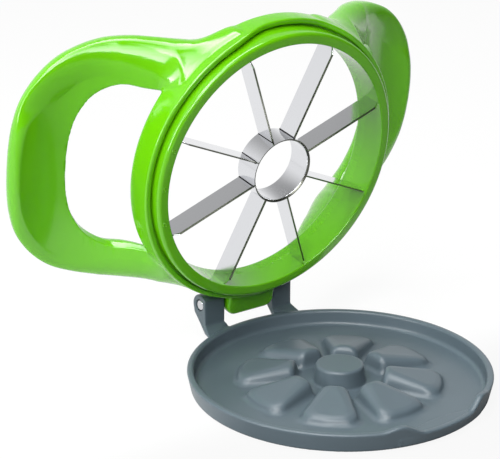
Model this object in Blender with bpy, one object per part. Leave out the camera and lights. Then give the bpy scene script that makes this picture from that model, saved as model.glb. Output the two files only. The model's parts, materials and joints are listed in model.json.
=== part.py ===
"""Hinged apple slicer and wedger press: a grey presser tray with a green slicer frame hinged to it.

The slicer frame is modelled folded down on the tray, in metres, with +Z up and the hinge on the +Y side.
An empty on the hinge axis then swings it up to its open rest pose. The origin is the centre of the tray's
underside.
"""

import math

import bmesh
import bpy
from mathutils import Matrix, Vector

# Clearances
FIT_GAP = 0.0003
CUT_OVERRUN = 0.0040
SINK = 0.0005

# Rings that nest in each other, from the tray's rim inwards
TRAY_RADIUS = 0.0550
RIM_WALL = 0.00255
COLLAR_WALL = 0.00415
OPENING_BACK_STEP = 0.0003
SHELL_RADIUS = TRAY_RADIUS
COLLAR_RADIUS = TRAY_RADIUS - RIM_WALL - FIT_GAP
OPENING_RADIUS = COLLAR_RADIUS - COLLAR_WALL
OPENING_BACK_RADIUS = OPENING_RADIUS - OPENING_BACK_STEP
CORE_RADIUS = 0.01248
CORE_WALL = 0.0008

# Presser tray
TRAY_BASE_INSET = 0.00145
TRAY_HEIGHT = 0.00682
TRAY_FLOOR = 0.0012
RIM_ROUND = 0.0006
RIM_INNER_ROUND = 0.0009
BASE_ROUND = 0.0008
FLOOR_FILLET = 0.0015
WALL_DRAFT = 0.0004

# Centre boss that pushes the core out
CENTRE_BOSS_CLEARANCE = 0.00308
CENTRE_BOSS_RADIUS = CORE_RADIUS - CORE_WALL - CENTRE_BOSS_CLEARANCE
CENTRE_BOSS_DRAFT = 0.0008
CENTRE_BOSS_TOP = 0.0080
CENTRE_BOSS_ROUND = 0.0010
CENTRE_BOSS_FILLET = 0.0008

# Wedge bosses that push the slices out
WEDGE_COUNT = 8
WEDGE_NOSE_CLEARANCE = 0.00452
WEDGE_TAIL_CLEARANCE = 0.0134
WEDGE_NOSE_REACH = CORE_RADIUS + WEDGE_NOSE_CLEARANCE
WEDGE_TAIL_REACH = OPENING_RADIUS - WEDGE_TAIL_CLEARANCE
WEDGE_NOSE_TOP = 0.0072
WEDGE_TAIL_TOP = 0.0040
WEDGE_NOSE_HALF_WIDTH = 0.0031
WEDGE_TAIL_HALF_WIDTH = 0.0088
WEDGE_SIDE_SPREAD = 0.0028
WEDGE_NOSE_SPREAD = 0.0020
WEDGE_TAIL_SPREAD = 0.0016
WEDGE_NOSE_ROUND = 0.0024
WEDGE_TAIL_ROUND = 0.0042
WEDGE_TAIL_BULGE = 0.0018
# How far each ring of a boss has gone from its foot to its top: inwards, then upwards
WEDGE_RING_SHARES = ((-0.06, -0.10), (0.0, 0.02), (0.30, 0.24), (0.62, 0.80), (0.86, 0.96), (1.30, 1.0))

# Front finger notch: the rim rises a little at each end of it and dips between, with a ledge inside
NOTCH_TURN = math.radians(-86.0)
NOTCH_SILL = 0.0046
NOTCH_HORN = 0.0013
NOTCH_SILL_END = math.radians(11.0)
NOTCH_HORN_TURN = math.radians(21.0)
NOTCH_END = math.radians(29.0)
LEDGE_TOP = 0.0029
LEDGE_HALF_WIDTH = 0.0195
LEDGE_DEPTH = 0.0045

# Hinge
HINGE_OFFSET = 0.00398
HINGE_RISE = 0.00897
HINGE_Y = TRAY_RADIUS + HINGE_OFFSET
HINGE_Z = TRAY_HEIGHT + HINGE_RISE
OPEN_ANGLE = math.radians(79.74)
PIN_RADIUS = 0.0020
PIN_END_ROUND = 0.0004
LUG_INNER_X = 0.0112
LUG_OUTER_X = 0.0205
LUG_HEAD_RADIUS = 0.0042
LUG_FRONT_SETBACK = 0.00368
LUG_ROOT_OVERLAP = 0.0016
LUG_ROOT_INSET = 0.0013
LUG_FOOT_DROP = 0.00182
LUG_FOOT_HEIGHT = 0.0034
LUG_FOOT_Z = TRAY_HEIGHT - LUG_FOOT_DROP
LUG_FOOT_TOP_Z = LUG_FOOT_Z + LUG_FOOT_HEIGHT
LUG_FOOT_FLARE = 0.0018
LUG_BACK_DROP = 0.00359
LUG_BACK_Z = HINGE_Z - LUG_BACK_DROP
LUG_BACK_REACH = 0.0035
LUG_HEAD_END = math.radians(18.0)
KNUCKLE_SIDE_GAP = 0.0005
KNUCKLE_REACH = 0.0049
KNUCKLE_CORNER = 0.0042
KNUCKLE_FRONT_DROP = 0.00569
KNUCKLE_BACK_WALL = 0.0025
# Inset and height of each ring of the knuckle, as shares of its corner radius and of its depth
KNUCKLE_RING_SHARES = ((0.30, 0.0), (0.08, 0.07), (0.0, 0.22), (0.0, 0.72), (0.10, 0.92), (0.32, 1.0))

# Ring shell of the handle frame
SHELL_DEPTH = 0.01128
SHELL_FRONT_Z = TRAY_HEIGHT + FIT_GAP
SHELL_BACK_Z = SHELL_FRONT_Z + SHELL_DEPTH
SHELL_EDGE_ROUND = 0.0006
SHELL_BACK_ROUND = 0.0016
OPENING_BACK_ROUND = 0.0012
RECESS_RISE = 0.00328
RECESS_HALF_WIDTH = 0.0130
RECESS_END_RUN = 0.0130
RECESS_END_ROUND = 0.0150

# Collar that traps the blades, and the groove between it and the shell
COLLAR_FRONT_Z = 0.00333
COLLAR_BACK_Z = 0.0121
COLLAR_GROOVE = 0.00065
COLLAR_CORNER_ROUND = 0.0014
COLLAR_LIP_ROUND = 0.0004
COLLAR_FLANK_DRAFT = 0.0003
SEAT_RADIUS = COLLAR_RADIUS + COLLAR_FLANK_DRAFT + COLLAR_GROOVE

# Blades and core cutter
BLADE_THICKNESS = 0.0006
BLADE_EDGE_Z = 0.00264
BLADE_BACK_Z = 0.0118
BLADE_BEVEL = 0.0014
BLADE_EDGE_THICKNESS = 0.00012
BLADE_SEAT = 0.0026
BLADE_SHOULDER_Z = 0.0047
BLADE_SHOULDER_RUN = 0.0024
CORE_EDGE_Z = 0.00157
CORE_BACK_Z = 0.01194
CORE_BEVEL = 0.0016
CORE_EDGE_THICKNESS = 0.00015

# Loop handles
HANDLE_STANDOFF = 0.0365
HANDLE_RISE = 0.0200
HANDLE_CROWN = 0.0070
UNDERSIDE_CREST_REACH = 0.0233
UNDERSIDE_CREST_RISE = 0.01837
UNDERSIDE_RADIUS = 0.0312
HANDLE_ROOT_DROP = 0.0056
INNER_FLANK_BULGE = 0.0010
INNER_FLANK_RISE = 0.0036
# Stations along half a handle, from its buried root to the middle of the grip. Each gives the plan place of the
# window edge, of the outer lower edge and of the widest flank, then the flank's height, the crown above it and
# how far the crown leans from the inner flank to the outer one. Plan shares count ring radii up to one and
# handle standoffs past it. Heights are shares of the handle's rise above the ring's back, and crowns are shares
# of the full crown.
HANDLE_STATION_SHARES = (
    (0.320, 0.850, 0.355, 0.878, 0.335, 0.920, -0.150, 0.35, 0.60),
    (0.500, 0.760, 0.520, 0.805, 0.510, 0.868, 0.015, 0.60, 0.75),
    (0.625, 0.665, 0.645, 0.728, 0.627, 0.862, 0.195, 0.80, 0.80),
    (0.745, 0.592, 0.778, 0.655, 0.745, 0.860, 0.460, 0.70, 0.80),
    (0.865, 0.575, 0.910, 0.658, 0.882, 0.858, 0.680, 0.85, 0.78),
    (0.976, 0.582, 1.068, 0.682, 1.041, 0.843, 0.835, 0.95, 0.72),
    (1.104, 0.547, 1.252, 0.678, 1.260, 0.806, 0.925, 1.00, 0.66),
    (1.219, 0.486, 1.425, 0.647, 1.507, 0.735, 0.985, 1.00, 0.62),
    (1.301, 0.405, 1.584, 0.583, 1.716, 0.620, 1.010, 1.00, 0.62),
    (1.362, 0.318, 1.740, 0.471, 1.875, 0.472, 1.020, 1.00, 0.62),
    (1.403, 0.200, 1.863, 0.305, 1.955, 0.315, 1.020, 1.00, 0.62),
    (1.419, 0.095, 1.912, 0.145, 1.991, 0.155, 1.015, 1.00, 0.60),
    (1.422, 0.0, 1.923, 0.0, 2.000, 0.0, 1.010, 1.00, 0.60),
)
STATION_STEPS = 2

# Facets and shading
RING_STEPS = 72
TRAY_STEPS = 96
CORE_STEPS = 40
ROUND_STEPS = 3
PIN_STEPS = 24
SHARP_EDGE_ANGLE = math.radians(32.0)


def filleted(corners, steps=ROUND_STEPS):
    """Points of a closed outline whose corners (x, y, radius) are rounded by arcs."""
    points = []
    for index, (x, y, radius) in enumerate(corners):
        corner = Vector((x, y))
        if radius == 0:
            points.append(corner)
            continue
        before = Vector(corners[index - 1][:2]) - corner
        after = Vector(corners[(index + 1) % len(corners)][:2]) - corner
        half_angle = before.angle(after) / 2
        run = min(radius / math.tan(half_angle), before.length / 2, after.length / 2)
        radius = run * math.tan(half_angle)
        inward = (before.normalized() + after.normalized()).normalized()
        centre = corner + inward * radius / math.sin(half_angle)
        start = corner + before.normalized() * run - centre
        end = corner + after.normalized() * run - centre
        turn = start.angle_signed(end)
        for step in range(steps + 1):
            spoke = start.copy()
            spoke.rotate(Matrix.Rotation(-turn * step / steps, 2))
            points.append(centre + spoke)
    return points


def plastic(name, colour, roughness):
    """Moulded plastic of one colour."""
    material = bpy.data.materials.new(name)
    material.use_nodes = True
    shader = material.node_tree.nodes["Principled BSDF"]
    shader.inputs["Base Color"].default_value = (*colour, 1.0)
    shader.inputs["Roughness"].default_value = roughness
    return material


def steel(name, colour, roughness):
    """Bare steel of one colour."""
    material = plastic(name, colour, roughness)
    material.node_tree.nodes["Principled BSDF"].inputs["Metallic"].default_value = 1.0
    return material


def mesh_object(name, bm, material=None):
    """Link a finished bmesh into the scene as one object."""
    bmesh.ops.recalc_face_normals(bm, faces=bm.faces)
    mesh = bpy.data.meshes.new(name)
    bm.to_mesh(mesh)
    bm.free()
    if material:
        mesh.materials.append(material)
    piece = bpy.data.objects.new(name, mesh)
    bpy.context.scene.collection.objects.link(piece)
    return piece


def smooth(piece):
    """Shade a piece smooth, with its real edges kept sharp."""
    piece.data.shade_smooth()
    piece.data.set_sharp_from_angle(angle=SHARP_EDGE_ANGLE)


def turned(name, profile, steps=RING_STEPS, material=None):
    """Turn a closed (radius, height) outline about Z."""
    bm = bmesh.new()
    verts = [bm.verts.new((radius, 0, height)) for radius, height in profile]
    edges = [bm.edges.new((verts[i - 1], verts[i])) for i in range(len(verts))]
    bmesh.ops.spin(bm, geom=verts + edges, axis=(0, 0, 1), cent=(0, 0, 0), angle=math.tau, steps=steps,
                   use_merge=True)
    bmesh.ops.remove_doubles(bm, verts=bm.verts, dist=SINK / 100)
    bmesh.ops.dissolve_degenerate(bm, edges=bm.edges, dist=SINK / 100)
    return mesh_object(name, bm, material)


def lofted(name, rings, material=None):
    """Skin a row of rings that have the same number of points, and cap both ends."""
    bm = bmesh.new()
    rows = [[bm.verts.new(point) for point in ring] for ring in rings]
    for row, following in zip(rows, rows[1:]):
        for i in range(len(row)):
            bm.faces.new((row[i - 1], row[i], following[i], following[i - 1]))
    bm.faces.new(rows[0])
    bm.faces.new(rows[-1])
    return mesh_object(name, bm, material)


def prism(name, outline, start, end, axis="Z", material=None):
    """Extrude a flat outline between two places along an axis."""
    rings = []
    for place in (start, end):
        if axis == "Z":
            rings.append([(x, y, place) for x, y in outline])
        elif axis == "X":
            rings.append([(place, y, z) for y, z in outline])
        else:
            rings.append([(x, place, z) for x, z in outline])
    return lofted(name, rings, material)


def rod(name, radius, start, end, end_round=0.0, steps=PIN_STEPS, material=None):
    """A round rod along X on the hinge axis, with rounded ends if asked."""
    profile = [(start, 0), (start, radius - end_round), (start + end_round, radius),
               (end - end_round, radius), (end, radius - end_round), (end, 0)]
    rings = []
    for x, ring_radius in profile[1:-1]:
        spokes = [math.tau * step / steps for step in range(steps)]
        rings.append([(x, HINGE_Y + ring_radius * math.cos(a), HINGE_Z + ring_radius * math.sin(a))
                      for a in spokes])
    if end_round == 0:
        rings = rings[1:3]
    return lofted(name, rings, material)


def combine(target, tool, operation):
    """Join a tool to a piece, or cut it out, and keep the tool as a hidden guide."""
    tool.hide_render = True
    tool.hide_viewport = True
    tool.display_type = "WIRE"
    modifier = target.modifiers.new(tool.name, "BOOLEAN")
    modifier.operation = operation
    modifier.solver = "EXACT"
    modifier.object = tool


def turn_mesh(piece, angle):
    """Turn a piece's mesh about the tray's centre line."""
    piece.data.transform(Matrix.Rotation(angle, 4, "Z"))


def tray_body(material):
    """The turned dish with its rim and centre boss."""
    inner = TRAY_RADIUS - RIM_WALL
    boss_foot = CENTRE_BOSS_RADIUS + CENTRE_BOSS_DRAFT
    corners = [
        (0, 0, 0),
        (TRAY_RADIUS - TRAY_BASE_INSET, 0, BASE_ROUND),
        (TRAY_RADIUS, TRAY_HEIGHT, RIM_ROUND),
        (inner, TRAY_HEIGHT, RIM_INNER_ROUND),
        (inner - WALL_DRAFT, TRAY_FLOOR, FLOOR_FILLET),
        (boss_foot, TRAY_FLOOR, CENTRE_BOSS_FILLET),
        (CENTRE_BOSS_RADIUS, CENTRE_BOSS_TOP, CENTRE_BOSS_ROUND),
        (0, CENTRE_BOSS_TOP, 0),
    ]
    tray = turned("presser_tray", filleted(corners), steps=TRAY_STEPS, material=material)
    for vert in tray.data.vertices:
        if vert.co.xy.length > inner - FLOOR_FILLET and vert.co.z > TRAY_HEIGHT / 2:
            vert.co.z += rim_offset(math.atan2(vert.co.y, vert.co.x))
    return tray


def rim_offset(angle):
    """How far the rim stands above or below its plain height in one direction from the centre."""
    away = abs(math.remainder(angle - NOTCH_TURN, math.tau))
    dip = NOTCH_SILL - TRAY_HEIGHT
    if away <= NOTCH_SILL_END:
        return dip
    if away <= NOTCH_HORN_TURN:
        climb = math.pi * (away - NOTCH_SILL_END) / (NOTCH_HORN_TURN - NOTCH_SILL_END)
        return dip + (NOTCH_HORN - dip) * (1 - math.cos(climb)) / 2
    if away <= NOTCH_END:
        fall = math.pi * (away - NOTCH_HORN_TURN) / (NOTCH_END - NOTCH_HORN_TURN)
        return NOTCH_HORN * (1 + math.cos(fall)) / 2
    return 0


def wedge_ring(inward_share, height_share):
    """One ring of a wedge boss, between its foot on the floor and its sloping top."""
    spread = 1 - inward_share
    nose = WEDGE_NOSE_REACH - WEDGE_NOSE_SPREAD * spread
    tail = WEDGE_TAIL_REACH + WEDGE_TAIL_SPREAD * spread
    nose_half = WEDGE_NOSE_HALF_WIDTH + WEDGE_SIDE_SPREAD * spread
    tail_half = WEDGE_TAIL_HALF_WIDTH + WEDGE_SIDE_SPREAD * spread
    nose_round = WEDGE_NOSE_ROUND
    tail_round = WEDGE_TAIL_ROUND
    corners = [(nose, -nose_half, nose_round), (tail, -tail_half, tail_round),
               (tail + WEDGE_TAIL_BULGE, 0, 2 * tail_half), (tail, tail_half, tail_round),
               (nose, nose_half, nose_round)]
    slope = (WEDGE_TAIL_TOP - WEDGE_NOSE_TOP) / (WEDGE_TAIL_REACH - WEDGE_NOSE_REACH)
    ring = []
    for x, y in filleted(corners):
        top = WEDGE_NOSE_TOP + slope * (x - WEDGE_NOSE_REACH)
        ring.append(Vector((x, y, TRAY_FLOOR + (top - TRAY_FLOOR) * height_share)))
    return ring


def add_wedges(tray):
    """Eight wedge bosses round the centre boss, one of them pointing at the hinge."""
    for number in range(WEDGE_COUNT):
        boss = lofted(f"wedge_boss_{number + 1}", [wedge_ring(*shares) for shares in WEDGE_RING_SHARES])
        turn_mesh(boss, math.tau * number / WEDGE_COUNT)
        combine(tray, boss, "UNION")


def add_ledge(tray):
    """The bare ledge inside the front notch, whose inner edge is an arc."""
    bend_radius = (LEDGE_HALF_WIDTH ** 2 + LEDGE_DEPTH ** 2) / (2 * LEDGE_DEPTH)
    seat = TRAY_RADIUS - RIM_WALL / 2
    chord = math.sqrt(seat ** 2 - LEDGE_HALF_WIDTH ** 2)
    centre = chord - LEDGE_DEPTH + bend_radius
    steps = 4 * ROUND_STEPS
    half_bend = math.asin(LEDGE_HALF_WIDTH / bend_radius)
    half_seat = math.asin(LEDGE_HALF_WIDTH / seat)
    outline = []
    for step in range(steps + 1):
        angle = half_bend * (2 * step / steps - 1)
        outline.append((centre - bend_radius * math.cos(angle), bend_radius * math.sin(angle)))
    for step in range(1, steps):
        angle = half_seat * (1 - 2 * step / steps)
        outline.append((seat * math.cos(angle), seat * math.sin(angle)))
    ledge = prism("front_ledge", outline, TRAY_FLOOR - SINK, LEDGE_TOP)
    turn_mesh(ledge, NOTCH_TURN)
    combine(tray, ledge, "UNION")


def hinge_lug(name, side):
    """One lug in side view, extruded, with a foot that flares at the rim."""
    front = HINGE_Y - LUG_FRONT_SETBACK
    root = math.sqrt(TRAY_RADIUS ** 2 - LUG_OUTER_X ** 2) - LUG_ROOT_OVERLAP
    back = HINGE_Y + LUG_BACK_REACH
    head_start = math.acos(-LUG_FRONT_SETBACK / LUG_HEAD_RADIUS)
    foot = [(root, LUG_FOOT_Z), (front, LUG_FOOT_TOP_Z)]
    steps = 5 * ROUND_STEPS
    head = []
    for step in range(steps + 1):
        angle = head_start + (-LUG_HEAD_END - head_start) * step / steps
        head.append((HINGE_Y + LUG_HEAD_RADIUS * math.cos(angle), HINGE_Z + LUG_HEAD_RADIUS * math.sin(angle)))
    heel = [(back, LUG_BACK_Z), (back - (LUG_BACK_Z - LUG_FOOT_TOP_Z), LUG_FOOT_TOP_Z),
            (back - (LUG_BACK_Z - LUG_FOOT_Z), LUG_FOOT_Z)]
    outline = foot + head + heel
    flares = [LUG_FOOT_FLARE] + [0] * (len(outline) - 1)
    bm = bmesh.new()
    cheeks = []
    for x, outward in ((side * LUG_INNER_X, -side), (side * LUG_OUTER_X, side)):
        row = [bm.verts.new((x + outward * flare, y, z)) for (y, z), flare in zip(outline, flares)]
        bm.faces.new([row[0], row[1], row[-2], row[-1]])
        bm.faces.new(row[1:-1])
        cheeks.append(row)
    inner, outer = cheeks
    for i in range(len(outline)):
        bm.faces.new((inner[i - 1], inner[i], outer[i], outer[i - 1]))
    return mesh_object(name, bm)


def add_lugs(tray):
    """Two hinge lugs that stand on the tray's rim, bored for the pin."""
    for side in (-1, 1):
        hand = "left" if side < 0 else "right"
        lug = hinge_lug(f"hinge_lug_{hand}", side)
        root = TRAY_RADIUS - LUG_ROOT_INSET
        clear = SHELL_RADIUS + FIT_GAP
        shelf = TRAY_HEIGHT + FIT_GAP / 3
        above = TRAY_HEIGHT + CUT_OVERRUN
        plug = [(0, -CUT_OVERRUN), (root, -CUT_OVERRUN), (root, shelf), (clear, shelf), (clear, above), (0, above)]
        combine(lug, turned(f"lug_root_{hand}", plug, steps=TRAY_STEPS), "DIFFERENCE")
        combine(tray, lug, "UNION")
    bore = rod("lug_bore", PIN_RADIUS + FIT_GAP, -LUG_OUTER_X - CUT_OVERRUN, LUG_OUTER_X + CUT_OVERRUN)
    combine(tray, bore, "DIFFERENCE")


def presser_tray():
    """The grey base that stands on the table."""
    tray = tray_body(plastic("grey_plastic", (0.155, 0.195, 0.215), 0.42))
    add_wedges(tray)
    add_ledge(tray)
    add_lugs(tray)
    smooth(tray)
    return tray


def hinge_pin():
    """The pin that stays in the tray's lugs."""
    end = LUG_OUTER_X - FIT_GAP
    bright = steel("pin_steel", (0.62, 0.63, 0.65), 0.3)
    pin = rod("hinge_pin", PIN_RADIUS, -end, end, PIN_END_ROUND, material=bright)
    smooth(pin)
    return pin


def between(quad, t):
    """Value of a smooth curve through four numbers, a share t of the way from the second to the third."""
    a, b, c, d = quad
    bend = 2 * a - 5 * b + 4 * c - d
    twist = 3 * b - a - 3 * c + d
    return b + ((c - a) * t + bend * t ** 2 + twist * t ** 3) / 2


def spline(rows):
    """Smooth rows of numbers between the given stations, and keep every station."""
    fine = []
    for i in range(len(rows) - 1):
        p0 = rows[max(i - 1, 0)]
        p1, p2 = rows[i], rows[i + 1]
        p3 = rows[min(i + 2, len(rows) - 1)]
        for step in range(STATION_STEPS):
            t = step / STATION_STEPS
            fine.append([between(quad, t) for quad in zip(p0, p1, p2, p3)])
    fine.append(list(rows[-1]))
    return fine


def reach(share):
    """Plan length of a share that counts ring radii up to one and handle standoffs past it."""
    return SHELL_RADIUS * min(share, 1) + HANDLE_STANDOFF * max(share - 1, 0)


def underside(x):
    """Height of the arched grip underside, which ends in the ring wall."""
    run = x - SHELL_RADIUS - UNDERSIDE_CREST_REACH
    arch = UNDERSIDE_CREST_RISE - run ** 2 / (2 * UNDERSIDE_RADIUS)
    return SHELL_BACK_Z + max(arch, -HANDLE_ROOT_DROP)


def quarter(start, end, upright_first, steps=ROUND_STEPS + 1):
    """Points between two places on a quarter of an ellipse, without the two places."""
    points = []
    for step in range(1, steps):
        angle = math.pi / 2 * step / steps
        along, up = math.sin(angle), 1 - math.cos(angle)
        if upright_first:
            along, up = 1 - math.cos(angle), math.sin(angle)
        plan = start.xy.lerp(end.xy, along)
        points.append(Vector((plan.x, plan.y, start.z + (end.z - start.z) * up)))
    return points


def handle_section(station):
    """One closed ring of a handle: underside, outer flank, crown and inner flank."""
    window_x, window_y, edge_x, edge_y, flank_x, flank_y, flank_rise, crown_share, lean = station
    window = Vector((reach(window_x), SHELL_RADIUS * window_y, 0))
    edge = Vector((reach(edge_x), SHELL_RADIUS * edge_y, 0))
    window.z = underside(window.x)
    edge.z = underside(edge.x)
    flank = Vector((reach(flank_x), SHELL_RADIUS * flank_y, SHELL_BACK_Z + HANDLE_RISE * flank_rise))
    outward = (flank.xy - window.xy).normalized()
    inner = Vector((*(window.xy - outward * INNER_FLANK_BULGE), window.z + INNER_FLANK_RISE * crown_share))
    crown = Vector((*inner.xy.lerp(flank.xy, lean), flank.z + HANDLE_CROWN * crown_share))
    ring = [window]
    for step in range(1, ROUND_STEPS):
        point = window.lerp(edge, step / ROUND_STEPS)
        ring.append(Vector((point.x, point.y, underside(point.x))))
    ring.append(edge)
    ring += quarter(edge, flank, False)
    ring.append(flank)
    ring += quarter(flank, crown, True)
    ring.append(crown)
    ring += quarter(inner, crown, True)[::-1]
    ring.append(inner)
    return ring


def handle(name, side):
    """One loop handle, from its root behind the front of the ring round to its root by the hinge."""
    half = [handle_section(station) for station in spline(HANDLE_STATION_SHARES)]
    rings = [[Vector((side * p.x, p.y, p.z)) for p in ring] for ring in half]
    rings += [[Vector((side * p.x, -p.y, p.z)) for p in ring] for ring in half[-2::-1]]
    return lofted(name, rings)


def knuckle():
    """The tab between the lugs that turns on the pin."""
    half_width = LUG_INNER_X - KNUCKLE_SIDE_GAP
    end = HINGE_Y + KNUCKLE_REACH
    front = HINGE_Z - KNUCKLE_FRONT_DROP
    depth = KNUCKLE_FRONT_DROP + PIN_RADIUS + FIT_GAP + KNUCKLE_BACK_WALL
    rings = []
    for inset_share, height_share in KNUCKLE_RING_SHARES:
        inset = KNUCKLE_CORNER * inset_share
        corner = KNUCKLE_CORNER - inset
        half = half_width - inset / 2
        corners = [(-half, SEAT_RADIUS, 0), (half, SEAT_RADIUS, 0),
                   (half, end - inset, corner), (-half, end - inset, corner)]
        rings.append([(x, y, front + depth * height_share) for x, y in filleted(corners, 2 * ROUND_STEPS)])
    return lofted("hinge_knuckle", rings)


def front_recess():
    """Cutter that raises the shell's front edge over the tray's notch, with eased ends."""
    start = SHELL_FRONT_Z - CUT_OVERRUN
    sill = SHELL_FRONT_Z + RECESS_RISE
    flare = RECESS_HALF_WIDTH + RECESS_END_RUN * (1 + CUT_OVERRUN / RECESS_RISE)
    corners = [(-flare, start, 0), (flare, start, 0),
               (RECESS_HALF_WIDTH, sill, RECESS_END_ROUND), (-RECESS_HALF_WIDTH, sill, RECESS_END_ROUND)]
    inner = math.sqrt(SHELL_RADIUS ** 2 - (RECESS_HALF_WIDTH + RECESS_END_RUN) ** 2) - CUT_OVERRUN
    outline = filleted(corners, 3 * ROUND_STEPS)
    cutter = prism("front_recess", outline, inner, SHELL_RADIUS + CUT_OVERRUN, axis="Y")
    turn_mesh(cutter, NOTCH_TURN - math.pi / 2)
    return cutter


def handle_frame():
    """The green ring shell with both handles and the knuckle."""
    blank_radius = OPENING_BACK_RADIUS - CUT_OVERRUN
    blank = [(blank_radius, SHELL_FRONT_Z, 0), (SHELL_RADIUS, SHELL_FRONT_Z, SHELL_EDGE_ROUND),
             (SHELL_RADIUS, SHELL_BACK_Z, SHELL_BACK_ROUND), (blank_radius, SHELL_BACK_Z, 0)]
    green = plastic("green_plastic", (0.205, 0.520, 0.010), 0.16)
    frame = turned("handle_frame", filleted(blank), material=green)
    combine(frame, front_recess(), "DIFFERENCE")
    for side in (-1, 1):
        combine(frame, handle(f"handle_{'left' if side < 0 else 'right'}", side), "UNION")
    tab = knuckle()
    combine(tab, rod("knuckle_bore", PIN_RADIUS + FIT_GAP, -LUG_INNER_X, LUG_INNER_X), "DIFFERENCE")
    combine(frame, tab, "UNION")
    below = SHELL_FRONT_Z - CUT_OVERRUN
    above = SHELL_BACK_Z + HANDLE_RISE + HANDLE_CROWN + CUT_OVERRUN
    seat = COLLAR_BACK_Z + FIT_GAP
    mouth = OPENING_BACK_RADIUS + OPENING_BACK_ROUND
    bore = [(0, below), (SEAT_RADIUS, below), (SEAT_RADIUS, seat), (OPENING_BACK_RADIUS, seat),
            (OPENING_BACK_RADIUS, SHELL_BACK_Z - OPENING_BACK_ROUND),
            (mouth, SHELL_BACK_Z + OPENING_BACK_ROUND), (mouth, above), (0, above)]
    combine(frame, turned("ring_bore", bore), "DIFFERENCE")
    smooth(frame)
    return frame


def blade_angles():
    """Direction of each blade, half way between two wedge bosses."""
    return [math.tau * (number + 0.5) / WEDGE_COUNT for number in range(WEDGE_COUNT)]


def blade_retaining_collar():
    """The inner green ring, slotted at the back for the ends of the blades."""
    profile = [(OPENING_RADIUS, COLLAR_FRONT_Z, COLLAR_LIP_ROUND),
               (COLLAR_RADIUS, COLLAR_FRONT_Z, COLLAR_CORNER_ROUND),
               (COLLAR_RADIUS + COLLAR_FLANK_DRAFT, COLLAR_BACK_Z, 0), (OPENING_RADIUS, COLLAR_BACK_Z, 0)]
    green = plastic("collar_plastic", (0.215, 0.545, 0.012), 0.18)
    collar = turned("blade_retaining_collar", filleted(profile), material=green)
    half_slot = BLADE_THICKNESS / 2 + FIT_GAP
    start = OPENING_RADIUS - CUT_OVERRUN
    end = OPENING_RADIUS + BLADE_SEAT + FIT_GAP
    outline = [(start, -half_slot), (end, -half_slot), (end, half_slot), (start, half_slot)]
    for number, angle in enumerate(blade_angles()):
        seat = BLADE_SHOULDER_Z - FIT_GAP
        slot = prism(f"blade_slot_{number + 1}", outline, seat, COLLAR_BACK_Z + CUT_OVERRUN)
        turn_mesh(slot, angle)
        combine(collar, slot, "DIFFERENCE")
    smooth(collar)
    return collar


def blades():
    """Eight bevelled steel strips that run from the core cutter into the collar."""
    bright = steel("blade_steel", (0.72, 0.73, 0.75), 0.24)
    start = CORE_RADIUS + FIT_GAP
    end = OPENING_RADIUS + BLADE_SEAT
    shoulder = OPENING_RADIUS - FIT_GAP
    nick = shoulder - BLADE_SHOULDER_RUN
    half = BLADE_THICKNESS / 2
    edge_half = BLADE_EDGE_THICKNESS / 2
    side = [(start, BLADE_EDGE_Z), (nick, BLADE_EDGE_Z), (shoulder, BLADE_SHOULDER_Z), (end, BLADE_SHOULDER_Z)]
    bevel_z = BLADE_EDGE_Z + BLADE_BEVEL
    pieces = []
    for number, angle in enumerate(blade_angles()):
        outline = side + [(end, BLADE_BACK_Z), (start, BLADE_BACK_Z)]
        blade = prism(f"blade_{number + 1}", outline, -half, half, axis="Y", material=bright)
        for vert in blade.data.vertices:
            if vert.co.z < bevel_z:
                vert.co.y = math.copysign(edge_half, vert.co.y)
        grind_blade(blade, bevel_z)
        turn_mesh(blade, angle)
        smooth(blade)
        pieces.append(blade)
    return pieces


def grind_blade(blade, bevel_z):
    """Cut each blade along the top of its ground bevel, and keep it full thickness above that line."""
    bm = bmesh.new()
    bm.from_mesh(blade.data)
    half = BLADE_THICKNESS / 2
    geometry = bm.verts[:] + bm.edges[:] + bm.faces[:]
    bmesh.ops.bisect_plane(bm, geom=geometry, dist=SINK / 1000, plane_co=(0, 0, bevel_z), plane_no=(0, 0, 1))
    for vert in bm.verts:
        if abs(vert.co.z - bevel_z) < SINK / 100:
            vert.co.y = math.copysign(half, vert.co.y)
    bmesh.ops.recalc_face_normals(bm, faces=bm.faces)
    bm.to_mesh(blade.data)
    bm.free()


def core_cutter():
    """The short steel tube that cuts out the core."""
    inner = CORE_RADIUS - CORE_WALL
    profile = [(CORE_RADIUS, CORE_BACK_Z), (inner, CORE_BACK_Z), (inner, CORE_EDGE_Z + CORE_BEVEL),
               (CORE_RADIUS - CORE_EDGE_THICKNESS, CORE_EDGE_Z), (CORE_RADIUS, CORE_EDGE_Z)]
    bright = steel("core_steel", (0.70, 0.71, 0.73), 0.2)
    core = turned("core_cutter", profile, steps=CORE_STEPS, material=bright)
    smooth(core)
    return core


def main():
    """Build the tray and its pin, then the slicer frame on its hinge, swung open."""
    for piece in list(bpy.data.objects):
        bpy.data.objects.remove(piece, do_unlink=True)
    presser_tray()
    hinge_pin()
    moving = [handle_frame(), blade_retaining_collar(), *blades(), core_cutter()]
    moving += [modifier.object for piece in moving for modifier in piece.modifiers]
    moving.append(bpy.data.objects["knuckle_bore"])
    hinge = bpy.data.objects.new("hinge_axis", None)
    bpy.context.scene.collection.objects.link(hinge)
    hinge.location = (0, HINGE_Y, HINGE_Z)
    for piece in moving:
        piece.parent = hinge
        piece.location = (0, -HINGE_Y, -HINGE_Z)
    hinge.rotation_euler.x = -OPEN_ANGLE


main()
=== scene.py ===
import json
import logging
import math
from collections.abc import Callable, Iterable, Sequence
from dataclasses import dataclass
from enum import Enum

import bmesh
import bpy
from mathutils import Matrix, Vector
from mathutils.bvhtree import BVHTree


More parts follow.
